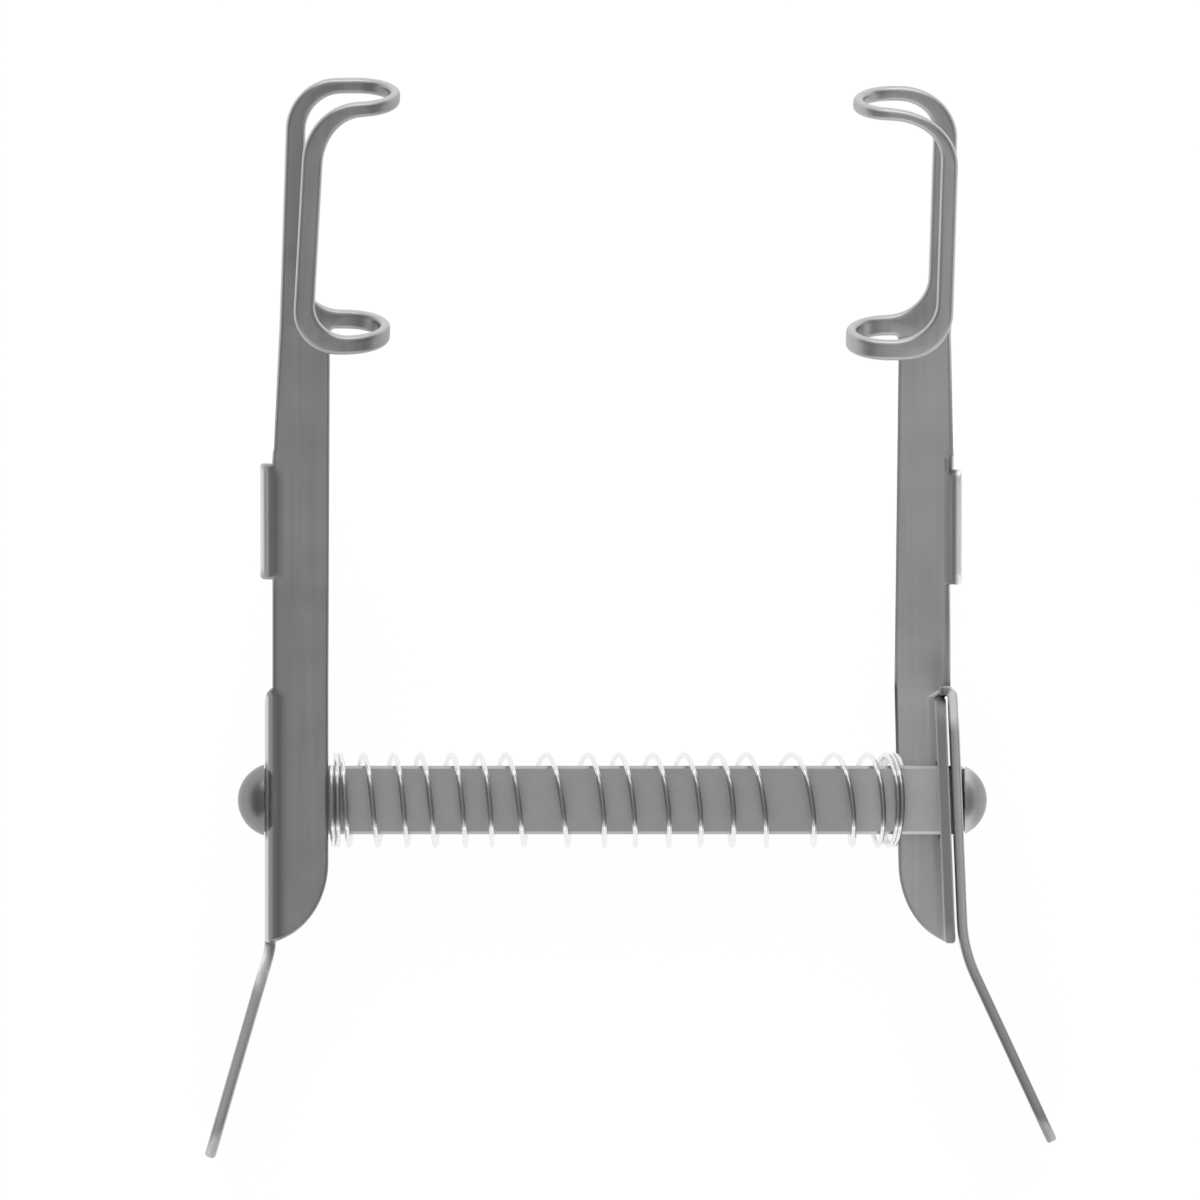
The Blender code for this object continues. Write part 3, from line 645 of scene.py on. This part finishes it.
    forward = -1.0 if left else 1.0
    for vert in bm.verts:
        s, v, w = vert.co
        if v > blade_low and turn(v) - s > 0.0:
            p, n = curl(turn(v) - s, forward * w, 0.0, hook, math.pi)
            s = turn(v) - p
            w = forward * n
        if v < web_low - 1e-7:
            w, s = FOLD_RADIUS + s - fold(v) - QUARTER, fold(v) + FOLD_RADIUS - w
        elif v < tab_end + TAB_RAMP:
            base = fold(v)
            x, w = curl(s - base, w, 0.0, FOLD_RADIUS, math.pi / 2)
            s = base + x
        if v > lean_line:
            v -= LEAN_SLACK * min(1.0, (v - lean_line) / (LEAN_RADIUS * LEAN_ANGLE))
            v, n = curl(v, forward * w, lean_line, LEAN_RADIUS, LEAN_ANGLE)
            w = forward * n
        if left and v < LEFT_SPLAY_LINE:
            middle = fold(web_low) + FOLD_RADIUS
            down, out = curl(-v, s - middle, -LEFT_SPLAY_LINE, LEFT_SPLAY_RADIUS, LEFT_SPLAY)
            v = -down
            s = middle + out
        mid = CHEEK_MID if left else -CHEEK_MID
        vert.co = (side * s, v, BAR_Z + mid - forward * -w)
    finish_piece(name, bm, mat, body, node)


def make_lever(mat):
    """Lock lever: lip over the web, slot for the bar, splayed finger end."""
    back = BAR_Z
    front = LEVER_FRONT
    lip = LIP_RADIUS * math.pi / 2 + LIP_FLAT
    lip_back = -BAR_THICK / 2 + BAR_CLEAR
    tip = RIGHT_TIP
    top = LEVER_TOP - BAR_CLEAR * 2
    outline = []
    c = LIP_CORNER
    outline += arc(front - c, LEVER_TOP + lip - c, c, c, 0, 90, 8)
    outline += [(lip_back, LEVER_TOP + lip), (lip_back, top)]
    c = WEB_CORNER
    outline += arc(-back + c, top - c, c, c, 90, 180, 12)
    c = TIP_RADIUS
    outline += arc(-back + c, tip + c, c, c, 180, 270, 16)
    outline += arc(front - c, tip + c, c, c, 270, 360, 16)
    wide = BAR_THICK / 2 + BAR_CLEAR
    high = BAR_HEIGHT / 2 + BAR_CLEAR
    hole = [(-wide, -high), (wide, -high), (wide, high), (-wide, high)]
    bm = blank([outline, hole], LEVER_SHEET, LEVER_RIM)
    faint, full = LEVER_SHOULDER
    lip_full, lip_gone = LIP_LIGHT
    score(bm, [faint, full] + stations(LEVER_TOP, LIP_RADIUS * math.pi / 2, 10), 1)
    bends = stations(0.0, RIGHT_SPLAY_RADIUS * RIGHT_SPLAY, 16)
    score(bm, [RIGHT_SPLAY_LINE - s for s in bends], 1)
    remember_flat(bm, LEVER_SHEET, LEVER_RIM, 1.0, 1.0)
    # Painted highlight on the cut edge from the lever's shoulder up into the lip
    shoulder = [(faint, 0.0), (full, 1.0), (LEVER_TOP + lip_full, 1.0), (LEVER_TOP + lip_gone, 0.0)]

    def lit_edge(depth, v, w):
        return step_line(shoulder, v) if on_cut_edge(w, LEVER_SHEET) else 0.0

    mark(bm, "fold_light", lit_edge)
    middle = LEVER_IN + LEVER_SHEET / 2
    for vert in bm.verts:
        depth, v, w = vert.co
        s = middle + w
        if v > LEVER_TOP:
            v, n = curl(v, -w, LEVER_TOP, LIP_RADIUS, math.pi / 2)
            s = middle - n
        elif v < RIGHT_SPLAY_LINE:
            down, out = curl(-v, w, -RIGHT_SPLAY_LINE, RIGHT_SPLAY_RADIUS, RIGHT_SPLAY)
            v = -down
            s = middle + out
        vert.co = (s, v, BAR_Z + depth)
    pivot = Vector((middle, 0.0, BAR_Z))
    turn = Matrix.Rotation(LEVER_TILT, 4, "Z")
    bm.transform(Matrix.Translation(pivot) @ turn @ Matrix.Translation(-pivot))
    finish_piece("lock_lever_plate", bm, mat, "lever", "lock_lever")


def make_button(name, side, height, body, node, mat):
    """Domed button, turned about the bar's own axis."""
    rise = BUTTON_SPHERE - height
    end = math.acos(rise / BUTTON_SPHERE)
    profile = []
    for i in range(25):
        a = end * i / 24
        profile.append((BUTTON_SPHERE * math.sin(a), BUTTON_SPHERE * math.cos(a) - rise))
    dome = len(profile)
    profile += [profile[-1], (TENON_RADIUS + SEAT_GAP, 0.0)]
    steps = 96
    bm = bmesh.new()
    flat = bm.verts.layers.float_vector.new("flat")
    seat = bm.verts.layers.float.new("seat")
    rings = []
    for r, h in profile:
        if r < 1e-9:
            rings.append([bm.verts.new((side * h, 0.0, 0.0))])
            continue
        ring = []
        for k in range(steps):
            a = 2 * math.pi * k / steps
            ring.append(bm.verts.new((side * h, r * math.cos(a), r * math.sin(a))))
        rings.append(ring)
    for i, (inside, outside) in enumerate(zip(rings, rings[1:])):
        if i + 1 == dome:
            continue
        for k in range(steps):
            n = (k + 1) % steps
            if len(inside) == 1:
                bm.faces.new((inside[0], outside[k], outside[n]))
            else:
                bm.faces.new((inside[k], outside[k], outside[n], inside[n]))
    bm.faces.new(rings[-1])
    for vert in bm.verts:
        vert[flat] = vert.co
    # The seat face is painted near white: a painted reflection that lights the fold and lever edge beside
    # the button in place of their shade
    for ring in rings[dome:]:
        for vert in ring:
            vert[seat] = 1.0
    bmesh.ops.translate(bm, vec=(side * (BAR_SPAN / 2 + SEAT_GAP), 0.0, BAR_Z), verts=bm.verts)
    finish_piece(name, bm, mat, body, node)


def spring_tree():
    """Helix of round wire whose turns stand where the pitch curve puts them."""
    tree = bpy.data.node_groups.new("coil_spring", "GeometryNodeTree")
    tree.interface.new_socket("Geometry", in_out="OUTPUT", socket_type="NodeSocketGeometry")
    for name, kind, value in (
        ("Turns", "NodeSocketFloat", 21.0),
        ("Points", "NodeSocketInt", 800),
        ("Coil Radius", "NodeSocketFloat", SPRING_RADIUS),
        ("Wire Radius", "NodeSocketFloat", SPRING_WIRE / 2),
        ("Length", "NodeSocketFloat", 0.032),
        ("Lean", "NodeSocketFloat", SPRING_TILT),
        ("Wire", "NodeSocketMaterial", None),
    ):
        add_socket(tree, name, kind, value)
    nodes, links = tree.nodes, tree.links
    inp = nodes.new("NodeGroupInput")
    out = nodes.new("NodeGroupOutput")

    def math_node(operation, *values):
        node = nodes.new("ShaderNodeMath")
        node.operation = operation
        for i, value in enumerate(values):
            if isinstance(value, (int, float)):
                node.inputs[i].default_value = value
            else:
                links.new(value, node.inputs[i])
        return node.outputs["Value"]

    line = nodes.new("GeometryNodeCurvePrimitiveLine")
    resample = nodes.new("GeometryNodeResampleCurve")
    links.new(line.outputs["Curve"], resample.inputs["Curve"])
    links.new(inp.outputs["Points"], resample.inputs["Count"])
    share = nodes.new("GeometryNodeSplineParameter").outputs["Factor"]
    pitch = nodes.new("ShaderNodeFloatCurve")
    track = pitch.mapping.curves[0]
    count = len(SPRING_TURNS) - 1
    track.points[0].location = (0.0, 0.0)
    track.points[-1].location = (1.0, 1.0)
    for i in range(1, count):
        track.points.new(i / count, SPRING_TURNS[i])
    for point in track.points:
        point.handle_type = "AUTO_CLAMPED"
    pitch.mapping.update()
    links.new(share, pitch.inputs["Value"])
    angle = math_node("MULTIPLY", math_node("MULTIPLY", share, inp.outputs["Turns"]), 2 * math.pi)
    angle = math_node("ADD", angle, SPRING_START)
    y = math_node("MULTIPLY", math_node("COSINE", angle), inp.outputs["Coil Radius"])
    z = math_node("MULTIPLY", math_node("SINE", angle), inp.outputs["Coil Radius"])
    lean = math_node("MULTIPLY", math_node("MULTIPLY", share, inp.outputs["Lean"]), z)
    x = math_node("ADD", math_node("MULTIPLY", pitch.outputs["Value"], inp.outputs["Length"]), lean)
    place = nodes.new("ShaderNodeCombineXYZ")
    links.new(x, place.inputs["X"])
    links.new(y, place.inputs["Y"])
    links.new(z, place.inputs["Z"])
    move = nodes.new("GeometryNodeSetPosition")
    links.new(resample.outputs["Curve"], move.inputs["Geometry"])
    links.new(place.outputs["Vector"], move.inputs["Position"])
    profile = nodes.new("GeometryNodeCurvePrimitiveCircle")
    profile.inputs["Resolution"].default_value = 12
    links.new(inp.outputs["Wire Radius"], profile.inputs["Radius"])
    sweep = nodes.new("GeometryNodeCurveToMesh")
    sweep.inputs["Fill Caps"].default_value = True
    links.new(move.outputs["Geometry"], sweep.inputs["Curve"])
    links.new(profile.outputs["Curve"], sweep.inputs["Profile Curve"])
    smooth = nodes.new("GeometryNodeSetShadeSmooth")
    links.new(sweep.outputs["Mesh"], smooth.inputs["Geometry"])
    real = nodes.new("GeometryNodeRealizeInstances")
    links.new(smooth.outputs["Geometry"], real.inputs["Geometry"])
    painted = nodes.new("GeometryNodeSetMaterial")
    links.new(real.outputs["Geometry"], painted.inputs["Geometry"])
    links.new(inp.outputs["Wire"], painted.inputs["Material"])
    links.new(painted.outputs["Geometry"], out.inputs["Geometry"])
    return tree


def set_input(modifier, name, value):
    for item in modifier.node_group.interface.items_tree:
        if item.item_type == "SOCKET" and item.in_out == "INPUT" and item.name == name:
            modifier[item.identifier] = value


def make_spring(mat):
    low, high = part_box("spring")
    wire = SPRING_WIRE / 2
    lean_reach = SPRING_TILT * SPRING_RADIUS
    length = high.x - low.x - 2 * wire - lean_reach
    holder = bpy.data.objects.new("spring_coil", bpy.data.meshes.new("spring_coil"))
    bpy.context.scene.collection.objects.link(holder)
    coil = holder.modifiers.new("coil", "NODES")
    coil.node_group = spring_tree()
    set_input(coil, "Turns", float(len(SPRING_TURNS) - 1))
    set_input(coil, "Points", (len(SPRING_TURNS) - 1) * 40 + 1)
    set_input(coil, "Length", length)
    set_input(coil, "Wire", mat)
    bpy.context.view_layer.update()
    shape = holder.evaluated_get(bpy.context.evaluated_depsgraph_get())
    mesh = bpy.data.meshes.new_from_object(shape)
    holder.modifiers.remove(coil)
    old = holder.data
    holder.data = mesh
    bpy.data.meshes.remove(old)
    mesh.name = "spring_coil"
    mesh.transform(Matrix.Translation((low.x + wire, BAR_MID.y, BAR_Z)))
    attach(holder, "frame")
    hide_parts("spring")
    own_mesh(holder)


# Finishes of the pieces, with their painted highlights, shade and reflections

WEB_LOW = CHEEK_FOOT - FOOT_CURVE
# Painted highlight on the blade's cut edges
BLADE_EDGE_HIGHLIGHT = ("blade_edge_highlight", (0.58, 0.58, 0.585), None)
# The two arms are one steel in a shaded copy, the left, and a lit copy, the right: their base tones differ
# as painted shade and light. Their masks paint highlights, shade and reflections on cut edges and folds; the
# left finger is painted lighter below the web, and the right cheek lighter below its upper part
ARM_LEFT_STEEL = steel(
    "left_arm_satin", (0.27, 0.27, 0.274), (0.45, 0.45, 0.456), 0.36, "flat",
    masks=(
        BLADE_EDGE_HIGHLIGHT, ("dull_and_shaded_edge", (0.34, 0.34, 0.345), 0.45), ("outer_edge", (0.46, 0.46, 0.465), 0.45),
        ("fold_dark", (0.24, 0.24, 0.243), 0.3), ("fold_middle", (0.42, 0.42, 0.425), 0.28),
        ("fold_light", (0.64, 0.64, 0.645), 0.25), ("beside_dome", (0.62, 0.62, 0.625), 0.9),
        ("neck", (0.43, 0.43, 0.435), 0.75), ("finger_light", (0.80, 0.80, 0.805), 0.6),
    ),
    grades=(("Y", WEB_LOW + FINGER_LIGHT[0], WEB_LOW + FINGER_LIGHT[1], 1.25),),
)
ARM_RIGHT_STEEL = steel(
    "right_arm_satin", (0.37, 0.37, 0.375), (0.58, 0.58, 0.587), 0.36, "flat",
    masks=(
        BLADE_EDGE_HIGHLIGHT, ("fold_dark", (0.56, 0.56, 0.565), 0.85), ("dull_and_shaded_edge", (0.30, 0.30, 0.305), 0.7),
        ("outer_edge", (0.95, 0.95, 0.95), 0.5), ("web_top", (0.20, 0.20, 0.203), 0.85),
    ),
    grades=(("Y", *RIGHT_CHEEK_LIGHT, 1.2),),
)
# Lever: painted shade on its cut edges, the splayed finger end and the lip; a painted highlight on the outer
# edge and a white painted highlight on the shoulder's edge
LEVER_STEEL = steel(
    "lock_lever_satin", (0.38, 0.38, 0.385), (0.53, 0.53, 0.537), 0.36, "flat",
    masks=(
        ("dull_and_shaded_edge", (0.40, 0.40, 0.405), None), ("outer_edge", (0.62, 0.62, 0.625), None),
        ("fold_light", (1.0, 1.0, 1.0), None),
    ),
    grades=(
        ("Y", *LEVER_SPLAY_SHADE, 0.75),
        ("Y", LEVER_TOP + LIP_SHADE[0], LEVER_TOP + LIP_SHADE[1], 0.6),
    ),
)
# Crossbar: painted light towards its right end
BAR_STEEL = steel(
    "crossbar_ground", (0.41, 0.41, 0.415), (0.56, 0.56, 0.566), 0.30, along=1200.0, across=1200.0,
    grades=(("X", BAR_MID.x + BAR_END_LIGHT[0], BAR_MID.x + BAR_END_LIGHT[1], 1.26),),
)
# The two buttons are one steel in a shaded copy, the left, and a lit copy, the right. The right one is
# painted lighter towards its foot; both seats are painted near white, as a painted reflection for the parts
# beside them
SEAT = ("seat", (0.9, 0.9, 0.9), 0.6)
LEFT_DOME_STEEL = steel(
    "left_dome_satin", (0.24, 0.24, 0.243), (0.29, 0.29, 0.293), 0.32, "flat", along=2600.0, masks=(SEAT,),
)
RIGHT_DOME_STEEL = steel(
    "right_dome_satin", (0.27, 0.27, 0.274), (0.33, 0.33, 0.334), 0.32, "flat", along=2600.0, masks=(SEAT,),
    grades=(("X", *DOME_FOOT_LIGHT, 1.9),),
)
# Spring wire: painted shade on the front of each turn, where it crosses the bar
WIRE_STEEL = steel(
    "spring_wire", (0.84, 0.84, 0.845), (0.92, 0.92, 0.925), 0.2, across=1500.0, along=1500.0, bump=0.0,
    grades=(("Z", BAR_Z + WIRE_FRONT_SHADE[0], BAR_Z + WIRE_FRONT_SHADE[1], 0.42),),
)

make_arm("left_arm_sheet", -1, LEFT, "frame", "left_arm", ARM_LEFT_STEEL)
make_arm("right_arm_sheet", 1, RIGHT, "sliding_arm", "right_arm", ARM_RIGHT_STEEL)
make_lever(LEVER_STEEL)
make_button(
    "left_button_dome", -1, LEFT_BUTTON_HEIGHT,
    "frame", "left_end_button", LEFT_DOME_STEEL,
)
make_button(
    "right_button_dome", 1, RIGHT_BUTTON_HEIGHT,
    "frame", "right_end_button", RIGHT_DOME_STEEL,
)
make_spring(WIRE_STEEL)
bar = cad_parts["crossbar"]
for slot in bar.material_slots:
    slot.material = BAR_STEEL

# Table, lamps, sky and camera

TABLE_DROP = 0.00002


def area_lamp(name, place, target, width, height, power):
    data = bpy.data.lights.new(name, "AREA")
    data.shape = "RECTANGLE"
    data.size = width
    data.size_y = height
    data.energy = power
    lamp = bpy.data.objects.new(name, data)
    lamp.location = place
    lamp.rotation_euler = (Vector(target) - Vector(place)).to_track_quat("-Z", "Y").to_euler()
    bpy.context.scene.collection.objects.link(lamp)


def make_table():
    bm = bmesh.new()
    bmesh.ops.create_grid(bm, x_segments=1, y_segments=1, size=3.0)
    mesh = bpy.data.meshes.new("table")
    bm.to_mesh(mesh)
    bm.free()
    table = bpy.data.objects.new("table", mesh)
    table.location = (0.0, 0.0, -TABLE_DROP)
    bpy.context.scene.collection.objects.link(table)
    mat = bpy.data.materials.new("table_white")
    mat.use_nodes = True
    nodes, links = mat.node_tree.nodes, mat.node_tree.links
    nodes.remove(nodes["Principled BSDF"])
    matte = nodes.new("ShaderNodeBsdfDiffuse")
    matte.inputs["Color"].default_value = (0.9, 0.9, 0.9, 1.0)
    glow = nodes.new("ShaderNodeEmission")
    glow.inputs["Strength"].default_value = 1.06
    glow.inputs["Color"].default_value = (1.0, 1.0, 1.0, 1.0)
    path = nodes.new("ShaderNodeLightPath")
    direct = nodes.new("ShaderNodeMath")
    direct.operation = "MAXIMUM"
    links.new(path.outputs["Is Camera Ray"], direct.inputs[0])
    links.new(path.outputs["Is Glossy Ray"], direct.inputs[1])
    seen = nodes.new("ShaderNodeMath")
    seen.operation = "MAXIMUM"
    links.new(direct.outputs["Value"], seen.inputs[0])
    links.new(path.outputs["Is Transmission Ray"], seen.inputs[1])
    share = nodes.new("ShaderNodeMath")
    share.operation = "MULTIPLY"
    share.inputs[1].default_value = 0.9
    links.new(seen.outputs["Value"], share.inputs[0])
    mix = nodes.new("ShaderNodeMixShader")
    links.new(share.outputs["Value"], mix.inputs["Fac"])
    links.new(matte.outputs["BSDF"], mix.inputs[1])
    links.new(glow.outputs["Emission"], mix.inputs[2])
    links.new(mix.outputs["Shader"], nodes["Material Output"].inputs["Surface"])
    mesh.materials.append(mat)


def make_sky():
    """Room brightness: mid grey overhead, darker to the left and right, pale at the horizon."""
    world = bpy.data.worlds.new("studio")
    bpy.context.scene.world = world
    world.use_nodes = True
    nodes, links = world.node_tree.nodes, world.node_tree.links
    coord = nodes.new("ShaderNodeTexCoord")
    split = nodes.new("ShaderNodeSeparateXYZ")
    links.new(coord.outputs["Generated"], split.inputs["Vector"])
    side = nodes.new("ShaderNodeMath")
    side.operation = "ABSOLUTE"
    links.new(split.outputs["X"], side.inputs[0])
    ramp = nodes.new("ShaderNodeValToRGB")
    stops = ramp.color_ramp.elements
    stops[0].position = 0.0
    stops[0].color = (0.58, 0.58, 0.58, 1.0)
    stops[1].position = 1.0
    stops[1].color = (0.45, 0.45, 0.45, 1.0)
    for place, value in ((0.30, 0.54), (0.52, 0.36), (0.78, 0.24), (0.92, 0.26)):
        stop = stops.new(place)
        stop.color = (value, value, value, 1.0)
    links.new(side.outputs["Value"], ramp.inputs["Fac"])
    depth = nodes.new("ShaderNodeMapRange")
    depth.inputs["From Min"].default_value = -1.0
    depth.inputs["To Min"].default_value = 0.78
    depth.inputs["To Max"].default_value = 1.22
    links.new(split.outputs["Y"], depth.inputs["Value"])
    shade = nodes.new("ShaderNodeVectorMath")
    shade.operation = "SCALE"
    links.new(ramp.outputs["Color"], shade.inputs[0])
    links.new(depth.outputs["Result"], shade.inputs["Scale"])
    low = nodes.new("ShaderNodeMapRange")
    low.inputs["From Min"].default_value = 0.22
    low.inputs["From Max"].default_value = 0.02
    links.new(split.outputs["Z"], low.inputs["Value"])
    mix = nodes.new("ShaderNodeMix")
    mix.data_type = "RGBA"
    mix.inputs["B"].default_value = (0.92, 0.92, 0.92, 1.0)
    links.new(low.outputs["Result"], mix.inputs["Factor"])
    links.new(shade.outputs["Vector"], mix.inputs["A"])
    links.new(mix.outputs["Result"], nodes["Background"].inputs["Color"])


scene = bpy.context.scene
scene.view_settings.view_transform = "Standard"
make_table()
make_sky()
area_lamp("softbox_far", (0.0, 0.8, 0.5), (0.0, 0.0, 0.0), 1.4, 0.5, 3.1)
area_lamp("softbox_near", (0.0, -0.8, 0.35), (0.0, 0.0, 0.0), 1.4, 0.4, 1.5)

# The photograph's frame in pixels, where the crossbar's middle lies in it, and one pixel in metres there
FRAME_PIXELS = 1200.0
BAR_PIXEL = (614.5, 800.0)
PIXEL = 0.0000555
SENSOR = 36.0
CAMERA_DISTANCE = 3.0
view_x = BAR_MID.x + (FRAME_PIXELS / 2 - BAR_PIXEL[0]) * PIXEL
view_y = BAR_MID.y - (FRAME_PIXELS / 2 - BAR_PIXEL[1]) * PIXEL
camera_data = bpy.data.cameras.new("camera")
camera = bpy.data.objects.new("camera", camera_data)
scene.collection.objects.link(camera)
scene.camera = camera
camera.location = (view_x, view_y, BAR_Z + CAMERA_DISTANCE)
camera_data.sensor_width = SENSOR
camera_data.lens = SENSOR * CAMERA_DISTANCE / (FRAME_PIXELS * PIXEL)
camera_data.clip_start = 0.1
camera_data.clip_end = 20.0
